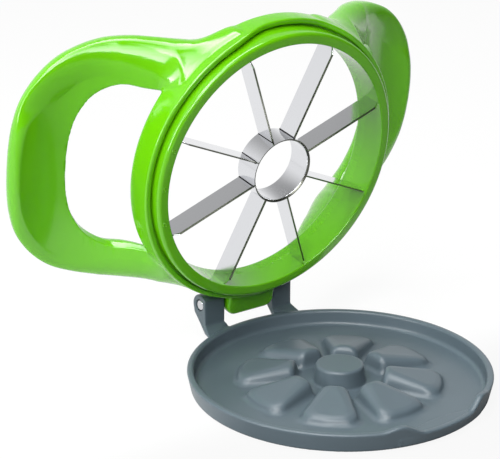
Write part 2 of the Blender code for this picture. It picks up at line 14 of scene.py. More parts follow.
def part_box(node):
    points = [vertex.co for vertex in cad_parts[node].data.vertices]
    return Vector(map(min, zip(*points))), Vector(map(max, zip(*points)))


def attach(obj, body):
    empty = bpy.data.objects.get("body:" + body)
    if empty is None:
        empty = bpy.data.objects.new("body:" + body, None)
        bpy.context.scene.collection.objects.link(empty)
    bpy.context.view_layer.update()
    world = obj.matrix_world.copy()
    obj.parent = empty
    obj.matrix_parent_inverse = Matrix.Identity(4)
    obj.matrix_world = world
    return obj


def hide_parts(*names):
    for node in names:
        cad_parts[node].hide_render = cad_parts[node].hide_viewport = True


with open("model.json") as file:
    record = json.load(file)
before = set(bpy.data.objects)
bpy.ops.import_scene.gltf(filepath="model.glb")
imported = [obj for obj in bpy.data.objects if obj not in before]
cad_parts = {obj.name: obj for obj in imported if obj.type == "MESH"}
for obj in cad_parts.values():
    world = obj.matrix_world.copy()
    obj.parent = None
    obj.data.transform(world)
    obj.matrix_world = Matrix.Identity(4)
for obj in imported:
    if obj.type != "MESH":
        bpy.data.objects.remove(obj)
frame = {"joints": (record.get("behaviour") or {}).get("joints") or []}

log = logging.getLogger("apple_slicer")

MM = 0.001
# Points nearer than this are one point
MERGE = MM / 200
# Slack between two places that count as one height, and the width of a fillet too small to show
SLACK = MM / 100
# Direction of the finger notch from the middle of the tray
NOTCH_TURN = math.radians(-86.0)
WHITE = (1.0, 1.0, 1.0, 1.0)
PICTURE_SIZE = (500, 459)

Point = tuple[float, float]
Corner = tuple[float, float, float]
Piece = bpy.types.Object


class Body(Enum):
    """The two halves of the press that the hinge joins."""

    TRAY = "tray"
    SLICER = "slicer_frame"


class Side(Enum):
    """Left and right of the press, seen from its finger notch."""

    LEFT = -1
    RIGHT = 1


class Zone(Enum):
    """Zones of a steel piece, by the numbers of their materials."""

    ROLLED = 0
    # Ground bevel, whose steel is darkened as painted shade
    GROUND_PAINTED_SHADE = 1
    # Root of a strip by the tube, in painted shadow
    ROOT_PAINTED_SHADOW = 2


# Small tools of the bench


def ease(share: float) -> float:
    """Go smoothly from 0 to 1 as the share does, flat at both ends."""
    share = min(max(share, 0.0), 1.0)
    return share * share * (3 - 2 * share)


def select_only(piece: Piece | None = None) -> None:
    """Leave edit mode, then select and activate one object alone, or deselect all.

    Args:
        piece: The object, if any.
    """
    if bpy.context.mode != "OBJECT":
        bpy.ops.object.mode_set(mode="OBJECT")
    bpy.ops.object.select_all(action="DESELECT")
    if piece:
        piece.select_set(True)
        bpy.context.view_layer.objects.active = piece


def new_piece(name: str) -> Piece:
    """Take the primitive that was just added, and give it and its mesh their name.

    Args:
        name: The name.

    Returns:
        The primitive.
    """
    piece = bpy.context.active_object
    piece.name = piece.data.name = name
    return piece


def copy_moved(piece: Piece, name: str, move: Matrix) -> Piece:
    """Copy a piece with a mesh of its own, and move that mesh.

    Args:
        piece: The piece that is made once.
        name: Name of the copy.
        move: Turn, shift or mirror of the copy's mesh.

    Returns:
        The copy.
    """
    twin = piece.copy()
    twin.data = piece.data.copy()
    twin.name = twin.data.name = name
    bpy.context.scene.collection.objects.link(twin)
    twin.data.transform(move)
    return twin


def join(pieces: Sequence[Piece]) -> None:
    """Join pieces to the first of them.

    Args:
        pieces: The pieces.
    """
    select_only(pieces[0])
    for piece in pieces[1:]:
        piece.select_set(True)
    bpy.ops.object.join()


def apply_modifier(piece: Piece, kind: str, **settings: object) -> None:
    """Add a modifier with its settings and apply it.

    Args:
        piece: The object that gets the modifier.
        kind: The modifier's type name.
        settings: Its properties by name.
    """
    select_only(piece)
    modifier = piece.modifiers.new(kind.title(), kind)
    for name, value in settings.items():
        setattr(modifier, name, value)
    bpy.ops.object.modifier_apply(modifier=modifier.name)


def round_edges(piece: Piece, width: float, segments: int = 4, sharper_than: float = 50.0) -> None:
    """Round the edges that turn by more than an angle in degrees."""
    apply_modifier(piece, "BEVEL", width=width, segments=segments, limit_method="ANGLE",
                   angle_limit=math.radians(sharper_than))


def cut(piece: Piece, tool: Piece) -> None:
    """Cut the tool's shape out of the piece and remove the tool."""
    apply_modifier(piece, "BOOLEAN", operation="DIFFERENCE", solver="EXACT", object=tool)
    bpy.data.objects.remove(tool, do_unlink=True)


def close_skin() -> None:
    """Merge doubles, drop collapsed faces and turn all faces outwards, then leave edit mode."""
    bpy.ops.mesh.select_all(action="SELECT")
    bpy.ops.mesh.remove_doubles(threshold=MERGE)
    bpy.ops.mesh.dissolve_degenerate(threshold=MERGE)
    bpy.ops.mesh.select_all(action="SELECT")
    bpy.ops.mesh.normals_make_consistent(inside=False)
    bpy.ops.object.mode_set(mode="OBJECT")


def rounded(corners: Sequence[Corner], steps: int) -> list[Point]:
    """Round the corners of a closed outline by arcs.

    Args:
        corners: First coordinate, second coordinate and radius of each corner.
        steps: Segments of each arc.

    Returns:
        The points of the outline.
    """
    points: list[Point] = []
    for index, (across, up, radius) in enumerate(corners):
        corner = Vector((across, up))
        if radius == 0:
            points.append((across, up))
            continue
        before = Vector(corners[index - 1][:2]) - corner
        after = Vector(corners[(index + 1) % len(corners)][:2]) - corner
        half_angle = before.angle(after) / 2
        run = min(radius / math.tan(half_angle), before.length / 2, after.length / 2)
        inward = (before.normalized() + after.normalized()).normalized()
        centre = corner + inward * run / math.cos(half_angle)
        start = corner + before.normalized() * run - centre
        end = corner + after.normalized() * run - centre
        turn = start.angle_signed(end)
        for step in range(steps + 1):
            spoke = start.copy()
            spoke.rotate(Matrix.Rotation(-turn * step / steps, 2))
            points.append(tuple(centre + spoke))
    return points


def curve_through(rows: Sequence[Sequence[float]], steps: int) -> list[list[float]]:
    """Run a smooth curve through rows of numbers, and keep every row.

    Args:
        rows: The given stations.
        steps: New rows for each stretch between two stations.

    Returns:
        The finer rows.
    """
    fine = []
    for i in range(len(rows) - 1):
        quads = list(zip(rows[max(i - 1, 0)], rows[i], rows[i + 1], rows[min(i + 2, len(rows) - 1)]))
        for t in (step / steps for step in range(steps)):
            row = []
            for a, b, c, d in quads:
                bend = 2 * a - 5 * b + 4 * c - d
                twist = 3 * b - a - 3 * c + d
                row.append(b + ((c - a) * t + bend * t ** 2 + twist * t ** 3) / 2)
            fine.append(row)
    fine.append(list(rows[-1]))
    return fine


def lathe(name: str, outline: Sequence[Point], steps: int) -> Piece:
    """Shape a circle to a closed section and spin it about Z.

    Args:
        name: Name of the new object.
        outline: Radius and height of each point of the section.
        steps: Segments round the turn.

    Returns:
        The turned piece.
    """
    select_only()
    bpy.ops.mesh.primitive_circle_add(vertices=len(outline), radius=MM)
    piece = new_piece(name)
    for vert, (radius, height) in zip(piece.data.vertices, outline):
        vert.co = (radius, 0, height)
    bpy.ops.object.mode_set(mode="EDIT")
    bpy.ops.mesh.select_all(action="SELECT")
    bpy.ops.mesh.spin(steps=steps, angle=math.tau, use_auto_merge=True, center=(0, 0, 0), axis=(0, 0, 1))
    close_skin()
    return piece


def loft(name: str, rings: Sequence[Sequence[Vector]]) -> Piece:
    """Shape a circle to the first ring, extrude it through the others and cap both ends.

    Args:
        name: Name of the new object.
        rings: Rings with the same number of points.

    Returns:
        The skinned piece.
    """
    select_only()
    bpy.ops.mesh.primitive_circle_add(vertices=len(rings[0]), radius=MM, fill_type="NGON")
    piece = new_piece(name)
    order = piece.data.attributes.new("order", "INT", "POINT")
    for number, point in enumerate(rings[0]):
        piece.data.vertices[number].co = point
        order.data[number].value = number
    bpy.ops.object.mode_set(mode="EDIT")
    bpy.ops.mesh.select_all(action="SELECT")
    for ring in rings[1:]:
        bpy.ops.mesh.extrude_region()
        bm = bmesh.from_edit_mesh(piece.data)
        number = bm.verts.layers.int["order"]
        for vert in bm.verts:
            if vert.select:
                vert.co = ring[vert[number]]
        bmesh.update_edit_mesh(piece.data)
    close_skin()
    piece.data.attributes.remove(piece.data.attributes["order"])
    return piece


# Finishes


def linear(hex_colour: str) -> tuple[float, float, float, float]:
    """Turn the six digits of an sRGB colour to the linear colour, with full alpha, that a shader takes."""
    channels = [int(hex_colour[i:i + 2], 16) / 255 for i in (0, 2, 4)]
    return (*[c / 12.92 if c <= 0.04045 else ((c + 0.055) / 1.055) ** 2.4 for c in channels], 1.0)


def add_node(tree: bpy.types.NodeTree, kind: str, options: dict[str, object] | None = None,
             inputs: dict[str | int, object] | None = None) -> bpy.types.Node:
    """Add a shader node, set its options, and fill or link its sockets.

    Args:
        tree: The node tree.
        kind: The node's type name, after ShaderNode.
        options: Properties of the node by name.
        inputs: Values, output sockets or nodes with one main output, by socket name or number.

    Returns:
        The new node.
    """
    node = tree.nodes.new("ShaderNode" + kind)
    for name, value in (options or {}).items():
        setattr(node, name, value)
    for socket, value in (inputs or {}).items():
        if isinstance(value, bpy.types.Node):
            value = value.outputs[0]
        if isinstance(value, bpy.types.NodeSocket):
            tree.links.new(value, node.inputs[socket])
        else:
            node.inputs[socket].default_value = value
    return node


def add_math(tree: bpy.types.NodeTree, operation: str, first: object, second: object) -> bpy.types.Node:
    """Add a node that works out one value from two."""
    return add_node(tree, "Math", {"operation": operation}, {0: first, 1: second})


def add_range(tree: bpy.types.NodeTree, value: object, taken: Point, given: Point) -> bpy.types.Node:
    """Add a node that maps a value from one range to another and stops at the ends."""
    return add_node(tree, "MapRange", inputs={"Value": value, "From Min": taken[0], "From Max": taken[1],
                                              "To Min": given[0], "To Max": given[1]})


def add_noise(tree: bpy.types.NodeTree, place: object, size_mm: float, detail: float) -> bpy.types.Node:
    """Add a noise whose patches are about as large as the size."""
    return add_node(tree, "TexNoise", inputs={"Vector": place, "Scale": 1 / (size_mm * MM), "Detail": detail})


def empty_material(name: str) -> bpy.types.Material:
    """Make a material whose tree has no nodes yet.

    Args:
        name: Name of the material.

    Returns:
        The material.
    """
    material = bpy.data.materials.new(name)
    material.use_nodes = True
    material.node_tree.nodes.clear()
    return material


@dataclass(frozen=True)
class MouldedPlastic:
    """Injection-moulded plastic: one colour through and through, with the skin of its mould.

    The mould's polish gives the gloss, shrinkage gives slow waves in it, and the flow of the melt leaves the
    colour a touch uneven.
    """

    name: str
    colour: str
    deep_colour: str
    roughness: float
    gloss_spread: float
    wave_mm: float
    wave_height_mm: float
    grain_mm: float
    grain_height_mm: float
    ior: float = 1.47
    scatter: float = 0.0
    scatter_radius_mm: float = 1.0
    scatter_colour: Corner = (0.6, 1.0, 0.25)
    flow_mm: float = 18.0

    def material(self) -> bpy.types.Material:
        """Build the node tree of this plastic.

        Returns:
            The material.
        """
        material = empty_material(self.name)
        tree = material.node_tree
        place = add_node(tree, "TexCoord").outputs["Object"]
        flow = add_noise(tree, place, self.flow_mm, 2.0)
        wave = add_noise(tree, place, self.wave_mm, 1.0)
        grain = add_noise(tree, place, self.grain_mm, 3.0)
        colour = add_node(tree, "Mix", {"data_type": "RGBA"},
                          {"Factor": flow, 6: linear(self.deep_colour), 7: linear(self.colour)})
        gloss = add_range(tree, wave, (0.0, 1.0),
                          (self.roughness - self.gloss_spread, self.roughness + self.gloss_spread))
        waves = add_node(tree, "Bump", inputs={"Height": wave, "Distance": self.wave_height_mm * MM})
        skin = add_node(tree, "Bump", inputs={"Height": grain, "Distance": self.grain_height_mm * MM,
                                              "Normal": waves})
        shader = add_node(tree, "BsdfPrincipled", inputs={
            "Base Color": colour.outputs[2], "Roughness": gloss, "IOR": self.ior, "Normal": skin,
            "Subsurface Weight": self.scatter, "Subsurface Scale": self.scatter_radius_mm * MM,
            "Subsurface Radius": self.scatter_colour})
        add_node(tree, "OutputMaterial", inputs={"Surface": shader})
        return material


@dataclass(frozen=True)
class RolledSteel:
    """Polished stainless steel strip or tube: rolled to size, so fine lines run along it."""

    name: str
    colour: str
    roughness: float
    line_mm: float
    line_height_mm: float
    line_stretch: Corner = (0.02, 1.0, 1.0)
    gloss_spread: float = 0.3

    def material(self) -> bpy.types.Material:
        """Build the node tree of this steel.

        Returns:
            The material.
        """
        material = empty_material(self.name)
        tree = material.node_tree
        grain = add_node(tree, "Attribute", {"attribute_name": "grain"}).outputs["Vector"]
        stretch = add_node(tree, "Mapping", inputs={"Vector": grain, "Scale": self.line_stretch})
        lines = add_noise(tree, stretch, self.line_mm, 4.0)
        gloss = add_range(tree, lines, (0.0, 1.0), (self.roughness * (1 - self.gloss_spread),
                                                    self.roughness * (1 + self.gloss_spread)))
        scratch = add_node(tree, "Bump", inputs={"Height": lines, "Distance": self.line_height_mm * MM})
        shader = add_node(tree, "BsdfPrincipled", inputs={"Base Color": linear(self.colour), "Metallic": 1.0,
                                                          "Roughness": gloss, "Normal": scratch})
        add_node(tree, "OutputMaterial", inputs={"Surface": shader})
        return material


# Polypropylene of the slicer frame, moulded in a polished tool: saturated apple green with a clear gloss
GREEN_POLYPROPYLENE = MouldedPlastic("green_polypropylene_gloss_moulded", "5eae06", "57a404", 0.12, 0.02,
                                     wave_mm=16.0, wave_height_mm=0.008, grain_mm=0.9, grain_height_mm=0.0006,
                                     ior=1.6, scatter=0.12, scatter_radius_mm=1.2)
# The same melt for the collar, from a tool of its own: a touch deeper and less glossy
GREEN_COLLAR = MouldedPlastic("green_polypropylene_collar_moulded", "5ca905", "549f04", 0.14, 0.02,
                              wave_mm=12.0, wave_height_mm=0.008, grain_mm=0.9, grain_height_mm=0.0006,
                              ior=1.6, scatter=0.12, scatter_radius_mm=1.2)
# ABS of the tray, moulded in a finely blasted tool: slate grey with a satin skin
GREY_ABS = MouldedPlastic("slate_abs_satin_moulded", "505d65", "4b585f", 0.38, 0.03,
                          wave_mm=12.0, wave_height_mm=0.01, grain_mm=0.5, grain_height_mm=0.004, ior=1.5)
# Stainless strip of the blades, rolled bright: mirrors the room, with faint lines along the strip
BLADE_STEEL = RolledSteel("stainless_steel_blade_rolled", "dedfe2", 0.10, 0.25, 0.0006)
# Stainless tube of the core cutter, drawn and polished: bright, with bands where its wall turns
CORE_STEEL = RolledSteel("stainless_steel_core_drawn", "dcdde0", 0.12, 0.25, 0.0008)
# The same steel where the wheel ground it, with short cross lines; its dark colour is painted shade, so the
# edge reads as a dark line
GROUND_STEEL_PAINTED_SHADE = RolledSteel("stainless_steel_edge_ground", "6c6d64", 0.34, 0.12, 0.002)
# Painted shadow at the root where a strip meets the tube: nearly black and dull steel
ROOT_STEEL_PAINTED_SHADOW = RolledSteel("stainless_steel_weld_scaled", "2a2a2c", 0.42, 0.2, 0.004)
# Nickel-plated steel wire of the hinge pin, cropped and tumbled: a soft bright end
PIN_STEEL = RolledSteel("steel_pin_nickel_plated", "cfd0d2", 0.22, 0.3, 0.001)


def dress(piece: Piece, *materials: bpy.types.Material, smooth: float = 38.0) -> None:
    """Give a piece its materials, in the order of its faces' numbers, and shade it smooth.

    Args:
        piece: The finished piece.
        materials: Its materials.
        smooth: Edges with a smaller angle than this, in degrees, are shaded smooth.
    """
    for material in materials:
        piece.data.materials.append(material)
    select_only(piece)
    bpy.ops.object.shade_smooth_by_angle(angle=math.radians(smooth), keep_sharp_edges=False)


def mark_grain(piece: Piece) -> None:
    """Keep each point's place as the piece is made, so that rolling lines follow the piece when it is turned.

    Args:
        piece: The piece, before it is turned.
    """
    grain = piece.data.attributes.new("grain", "FLOAT_VECTOR", "POINT")
    for number, vert in enumerate(piece.data.vertices):
        grain.data[number].vector = vert.co


# Shared sizes


@dataclass(frozen=True)
class Hinge:
    """Axis of the frame's hinge and how far the frame stands open from the folded tray."""

    y: float
    z: float
    open_angle: float
    pin_radius: float = 2.0 * MM
    bore_radius: float = 2.3 * MM

    @classmethod
    def from_frame(cls) -> "Hinge":
        """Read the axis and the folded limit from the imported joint."""
        joint = frame["joints"][0]
        return cls(y=joint["pos_m"][1], z=joint["pos_m"][2], open_angle=-math.radians(joint["range_deg"][0]))

    def swing_open(self, piece: Piece) -> None:
        """Turn a piece's mesh from the folded pose, in which it is made, to the open rest pose."""
        pivot = Matrix.Translation((0, self.y, self.z))
        piece.data.transform(pivot @ Matrix.Rotation(-self.open_angle, 4, "X") @ pivot.inverted())

    def rod(self, name: str, radius: float, length: float, steps: int = 48) -> Piece:
        """Add a cylinder that lies on the axis, its middle in the middle of the press.

        Args:
            name: Name of the new object.
            radius: Its radius.
            length: Its whole length.
            steps: Segments round it.

        Returns:
            The cylinder, with its place still in its object.
        """
        select_only()
        bpy.ops.mesh.primitive_cylinder_add(vertices=steps, radius=radius, depth=length,
                                            location=(0, self.y, self.z), rotation=(0, math.pi / 2, 0))
        return new_piece(name)


@dataclass(frozen=True)
class Rings:
    """Radii of the rings that nest in each other, from the tray's rim inwards."""

    rim: float
    rim_wall: float = 2.55 * MM
    fit_gap: float = 0.3 * MM
    collar_wall: float = 4.15 * MM
    core: float = 12.48 * MM
    core_wall: float = 0.8 * MM

    @classmethod
    def from_frame(cls) -> "Rings":
        """Read the rim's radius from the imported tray."""
        low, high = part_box("presser_tray")
        return cls(rim=(high.x - low.x) / 2)

    @property
    def collar(self) -> float:
        """Outer radius of the collar."""
        return self.rim - self.rim_wall - self.fit_gap

    @property
    def opening(self) -> float:
        """Radius of the opening that the apple passes."""
        return self.collar - self.collar_wall


@dataclass(frozen=True)
class FrontRecess:
    """Stretch over the finger notch where the shell's front edge steps back from the collar's face."""

    turn: float = NOTCH_TURN
    rise: float = 3.28 * MM
    half_width: float = 10.5 * MM
    end: float = 27.5 * MM

    def lift(self, place: Vector) -> float:
        """Say how far the edge is lifted at a place on the rim.

        Args:
            place: The place.

        Returns:
            The lift, none on the hinge's side.
        """
        away = abs(math.remainder(math.atan2(place.y, place.x) - self.turn, math.tau))
        if place.xy.dot((math.cos(self.turn), math.sin(self.turn))) < 0:
            return 0.0
        across = place.xy.length * math.sin(away)
        return self.rise * ease((self.end - across) / (self.end - self.half_width))


@dataclass
class Fusion:
    """Fuses closed shells to one moulded skin, with soft fillets where two of them meet.

    Each point of a fine remesh is moved to where the smooth minimum of its distances to the shells is zero.
    """

    kept_share: float
    widest: float
    reach: Callable[[Vector], float]
    voxel: float = 0.42 * MM
    rounds: int = 5
    relax_passes: int = 8
    relax_factor: float = 0.5
    seam_width: float = 0.8 * MM
    near_enough: float = MM / 500
    least_square: float = 0.1

    def fuse(self, name: str, shells: Sequence[Piece]) -> Piece:
        """Join the shells, remesh them as one skin, and settle the skin on the shells and their fillets.

        Args:
            name: Name of the fused piece.
            shells: Closed shells that overlap each other.

        Returns:
            The fused piece.
        """
        trees = [self._tree(shell) for shell in shells]
        join(shells)
        piece = new_piece(name)
        piece.data.remesh_voxel_size = self.voxel
        piece.data.use_remesh_fix_poles = False
        piece.data.use_remesh_preserve_volume = False
        bpy.ops.object.voxel_remesh()
        self._settle_all(piece, trees)
        # The thinned skin is relaxed at its seams, so that its last settling finds even faces there
        apply_modifier(piece, "DECIMATE", ratio=self.kept_share)
        seam = piece.vertex_groups.new(name="seam")
        near = [vert.index for vert in piece.data.vertices if self._near_two(vert.co, trees)]
        seam.add(near, 1.0, "REPLACE")
        apply_modifier(piece, "SMOOTH", factor=self.relax_factor, iterations=self.relax_passes,
                       vertex_group=seam.name)
        piece.vertex_groups.clear()
        self._settle_all(piece, trees)
        return piece

    def _tree(self, shell: Piece) -> BVHTree:
        """Make a search tree of one shell.

        Args:
            shell: The shell.

        Returns:
            The tree of its faces.
        """
        bm = bmesh.new()
        bm.from_mesh(shell.data)
        tree = BVHTree.FromBMesh(bm)
        bm.free()
        return tree

    def _near_two(self, place: Vector, trees: Sequence[BVHTree]) -> bool:
        """Say whether a point lies on a seam or fillet between two shells, where its faces need room."""
        width = max(self.reach(place), self.seam_width)
        return sum(tree.find_nearest(place, width)[0] is not None for tree in trees) > 1

    def _settle_all(self, piece: Piece, trees: Sequence[BVHTree]) -> None:
        """Settle every point of the piece."""
        for vert in piece.data.vertices:
            vert.co = self._settle(vert.co.copy(), trees)

    def _settle(self, place: Vector, trees: Sequence[BVHTree]) -> Vector:
        """Move a point of the skin to its shell, or to the fillet between the two nearest shells.

        Args:
            place: A point near the skin.
            trees: Search trees of the shells.

        Returns:
            The point on the skin.
        """
        for _ in range(self.rounds):
            near = []
            for tree in trees:
                spot, normal, _, distance = tree.find_nearest(place, self.widest)
                if spot is None:
                    continue
                away = place - spot
                side = -1 if away.dot(normal) < -distance / 2 else 1
                outward = side * away / distance if distance > self.near_enough else normal
                near.append((side * distance, outward))
            if not near:
                return place
            near.sort(key=lambda pair: pair[0])
            height, outward = near[0]
            reach = self.reach(place)
            if len(near) > 1 and near[1][0] - height < reach:
                share = 1 - (near[1][0] - height) / reach
                height -= share ** 3 * reach / 6
                outward = outward.lerp(near[1][1], share ** 2 / 2)
            elif abs(height) < self.near_enough:
                return place
            place = place - outward * height / max(outward.length_squared, self.least_square)
        return place


# The slicer frame


@dataclass
class HandleFrame:
    """Green moulding: the ring shell, its two loop handles and the knuckle that turns on the pin.

    It is made folded down on the tray, with its front edge at the bottom, then swung open.
    """

    rings: Rings
    hinge: Hinge
    recess: FrontRecess = FrontRecess()
    front_z: float = 7.12 * MM
    back_z: float = 18.4 * MM
    seat_z: float = 12.05 * MM
    lifted_below: float = 10.05 * MM
    groove: float = 0.75 * MM
    lip_round: float = 0.5 * MM
    front_round: float = 0.7 * MM
    back_round: float = 1.6 * MM
    mouth_round: float = 1.2 * MM
    handle_standoff: float = 36.5 * MM
    handle_rise: float = 20.0 * MM
    handle_crown: float = 7.0 * MM
    arch_reach: float = 23.3 * MM
    arch_rise: float = 18.37 * MM
    arch_radius: float = 31.2 * MM
    root_drop: float = 5.6 * MM
    notch_arm_share: float = 0.55
    notch_arm_from: float = 0.20
    notch_arm_full: float = 0.42
    notch_root_share: float = 0.18
    notch_root_from: float = 1.12
    notch_root_full: float = 0.84
    inner_bulge: float = 1.0 * MM
    inner_rise: float = 3.6 * MM
    knuckle_half_width: float = 10.7 * MM
    knuckle_reach: float = 4.9 * MM
    knuckle_corner: float = 4.2 * MM
    knuckle_front_drop: float = 5.69 * MM
    knuckle_back_wall: float = 2.5 * MM
    # Inset and height of each ring of the knuckle, as shares of its corner radius and of its depth
    knuckle_ring_shares: tuple[Point, ...] = ((0.30, 0.0), (0.08, 0.07), (0.0, 0.22), (0.0, 0.72),
                                              (0.10, 0.92), (0.32, 1.0))
    kept_share: float = 0.47
    wide_fillet: float = 8.5 * MM
    narrow_fillet: float = 1.5 * MM
    narrow_until: float = 30.0 * MM
    wide_from: float = 38.0 * MM
    ring_steps: int = 384
    round_steps: int = 6
    station_steps: int = 10
    section_steps: int = 12
    knuckle_steps: int = 4
    # Stations along half a handle, from its buried root to the middle of the grip: the plan place of the window
    # edge, of the outer lower edge and of the widest flank, then the flank's height, the crown above it and how
    # far the crown leans outwards. Plan shares count ring radii up to one and standoffs past it. Heights are
    # shares of the handle's rise and crown.
    station_shares: tuple[tuple[float, ...], ...] = (
        (0.320, 0.850, 0.355, 0.878, 0.335, 0.920, -0.150, 0.35, 0.60),
        (0.500, 0.760, 0.520, 0.805, 0.510, 0.868, 0.015, 0.60, 0.75),
        (0.625, 0.665, 0.645, 0.728, 0.627, 0.862, 0.195, 0.80, 0.80),
        (0.745, 0.592, 0.778, 0.655, 0.745, 0.860, 0.460, 0.70, 0.80),
        (0.865, 0.575, 0.910, 0.658, 0.882, 0.858, 0.680, 0.85, 0.78),
        (0.976, 0.582, 1.068, 0.682, 1.041, 0.843, 0.835, 0.95, 0.72),
        (1.104, 0.547, 1.252, 0.678, 1.260, 0.806, 0.925, 1.00, 0.66),
        (1.219, 0.486, 1.425, 0.647, 1.507, 0.735, 0.985, 1.00, 0.62),
        (1.301, 0.405, 1.584, 0.583, 1.716, 0.620, 1.010, 1.00, 0.62),
        (1.362, 0.318, 1.740, 0.471, 1.875, 0.472, 1.020, 1.00, 0.62),
        (1.403, 0.200, 1.863, 0.305, 1.955, 0.315, 1.020, 1.00, 0.62),
        (1.419, 0.095, 1.912, 0.145, 1.991, 0.155, 1.015, 1.00, 0.60),
        (1.422, 0.0, 1.923, 0.0, 2.000, 0.0, 1.010, 1.00, 0.60),
    )

    def build(self) -> Piece:
        """Make the whole moulding.

        Returns:
            The fused piece, swung open.
        """
        right = self._handle()
        left = copy_moved(right, "handle_left_shell", Matrix.Scale(-1, 4, (1, 0, 0)))
        select_only(left)
        bpy.ops.object.mode_set(mode="EDIT")
        close_skin()
        fusion = Fusion(kept_share=self.kept_share, widest=self.wide_fillet, reach=self._fillet_reach)
        piece = fusion.fuse("slicer_moulding", [self._ring(), right, left, self._knuckle()])
        self.hinge.swing_open(piece)
        dress(piece, GREEN_POLYPROPYLENE.material())
        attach(piece, Body.SLICER.value)
        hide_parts("handle_frame")
        return piece

    def _fillet_reach(self, place: Vector) -> float:
        """Say how wide a fillet is: wide outside an arm, narrow in the window, none at the lip and in the bore.

        Args:
            place: A place on the moulding.

        Returns:
            The width.
        """
        outside = ease((abs(place.y) - self.narrow_until) / (self.wide_from - self.narrow_until))
        beside = ease(abs(place.x) / self.knuckle_half_width - 1)
        wall = self.rings.rim - self.rings.opening
        on_wall = ease((place.xy.length - self.rings.opening) / wall)
        above_lip = ease((place.z - self.front_z) / (self.back_z - self.root_drop - self.front_z))
        reach = self.narrow_fillet + (self.wide_fillet - self.narrow_fillet) * outside * beside
        return max(reach * on_wall * above_lip, SLACK)

    def _ring(self) -> Piece:
        """Turn the ring shell and lift its front edge over the finger notch.

        Returns:
            The shell.
        """
        seat = self.rings.collar + self.groove
        mouth = self.rings.opening
        section = [(seat, self.front_z, self.lip_round), (self.rings.rim, self.front_z, self.front_round),
                   (self.rings.rim, self.back_z, self.back_round), (mouth, self.back_z, self.mouth_round),
                   (mouth, self.seat_z, 0), (seat, self.seat_z, 0)]
        ring = lathe("ring_shell", rounded(section, self.round_steps), self.ring_steps)
        for vert in ring.data.vertices:
            if vert.co.z < self.lifted_below:
                vert.co.z += self.recess.lift(vert.co)
        return ring

    def _reach(self, share: float) -> float:
        """Plan length of a share that counts ring radii up to one and standoffs past it."""
        return self.rings.rim * min(share, 1) + self.handle_standoff * max(share - 1, 0)

    def _underside(self, x: float) -> float:
        """Height of the arched underside of the grip, which ends in the ring's wall."""
        run = x - self.rings.rim - self.arch_reach
        return self.back_z + max(self.arch_rise - run ** 2 / (2 * self.arch_radius), -self.root_drop)

    def _quarter(self, start: Vector, end: Vector, upright_first: bool) -> list[Vector]:
        """Lay points between two places on a quarter of an ellipse, without the two places.

        Args:
            start: The lower place.
            end: The upper place.
            upright_first: Whether the quarter leaves its start upwards.

        Returns:
            The points.
        """
        points = []
        for step in range(1, self.section_steps):
            angle = math.pi / 2 * step / self.section_steps
            along, up = math.sin(angle), 1 - math.cos(angle)
            if upright_first:
                along, up = up, along
            plan = start.xy.lerp(end.xy, along)
            points.append(Vector((plan.x, plan.y, start.z + (end.z - start.z) * up)))
        return points

    def _section(self, station: Sequence[float], by_notch: bool) -> list[Vector]:
        """Lay out one closed ring of a handle: underside, outer flank, crown and inner flank.

        Args:
            station: The shares of one station.
            by_notch: Whether the station is on the arm by the notch, whose underside is narrower.

        Returns:
            The points of the ring.
        """
        window_x, window_y, edge_x, edge_y, flank_x, flank_y, flank_rise, crown_share, lean = station
        rim = self.rings.rim
        window = Vector((self._reach(window_x), rim * window_y, 0))
        edge = Vector((self._reach(edge_x), rim * edge_y, 0))
        if by_notch:
            bend = ease((window_y - self.notch_arm_from) / (self.notch_arm_full - self.notch_arm_from))
            pinch = ease((self.notch_root_from - window_x) / (self.notch_root_from - self.notch_root_full))
            share = self.notch_arm_share + (self.notch_root_share - self.notch_arm_share) * pinch
            edge = window.lerp(edge, 1 - bend * (1 - share))
        window.z = self._underside(window.x)
        edge.z = self._underside(edge.x)
        flank = Vector((self._reach(flank_x), rim * flank_y, self.back_z + self.handle_rise * flank_rise))
        outward = (flank.xy - window.xy).normalized()
        inner = Vector((*(window.xy - outward * self.inner_bulge), window.z + self.inner_rise * crown_share))
        crown = Vector((*inner.xy.lerp(flank.xy, lean), flank.z + self.handle_crown * crown_share))
        under = [window.lerp(edge, step / self.section_steps) for step in range(1, self.section_steps)]
        under = [Vector((point.x, point.y, self._underside(point.x))) for point in under]
        inner_flank = self._quarter(inner, crown, True)[::-1]
        return [window, *under, edge, *self._quarter(edge, flank, False), flank,
                *self._quarter(flank, crown, True), crown, *inner_flank, inner]

    def _handle(self) -> Piece:
        """Skin the right loop handle from its root by the notch round to its root by the hinge.

        Returns:
            The closed handle.
        """
        stations = curve_through(self.station_shares, self.station_steps)
        front = [[Vector((p.x, -p.y, p.z)) for p in self._section(station, True)] for station in stations]
        back = [self._section(station, False) for station in stations[-2::-1]]
        return loft("handle_right_shell", front + back)

    def _knuckle(self) -> Piece:
        """Make the tab that stands between the tray's lugs and bore it for the pin.

        Returns:
            The bored tab.
        """
        front = self.hinge.z - self.knuckle_front_drop
        depth = self.knuckle_front_drop + self.hinge.bore_radius + self.knuckle_back_wall
        inner = self.rings.collar + self.groove
        end = self.hinge.y + self.knuckle_reach
        rings = []
        for inset_share, height_share in curve_through(self.knuckle_ring_shares, self.knuckle_steps):
            inset = self.knuckle_corner * max(inset_share, 0)
            half = self.knuckle_half_width - inset / 2
            corner = self.knuckle_corner - inset
            outline = rounded([(-half, inner, 0), (half, inner, 0), (half, end - inset, corner),
                               (-half, end - inset, corner)], 2 * self.round_steps)
            rings.append([Vector((x, y, front + depth * height_share)) for x, y in outline])
        knuckle = loft("knuckle_shell", rings)
        cut(knuckle, self.hinge.rod("knuckle_bore", self.hinge.bore_radius, 4 * self.knuckle_half_width))
        return knuckle


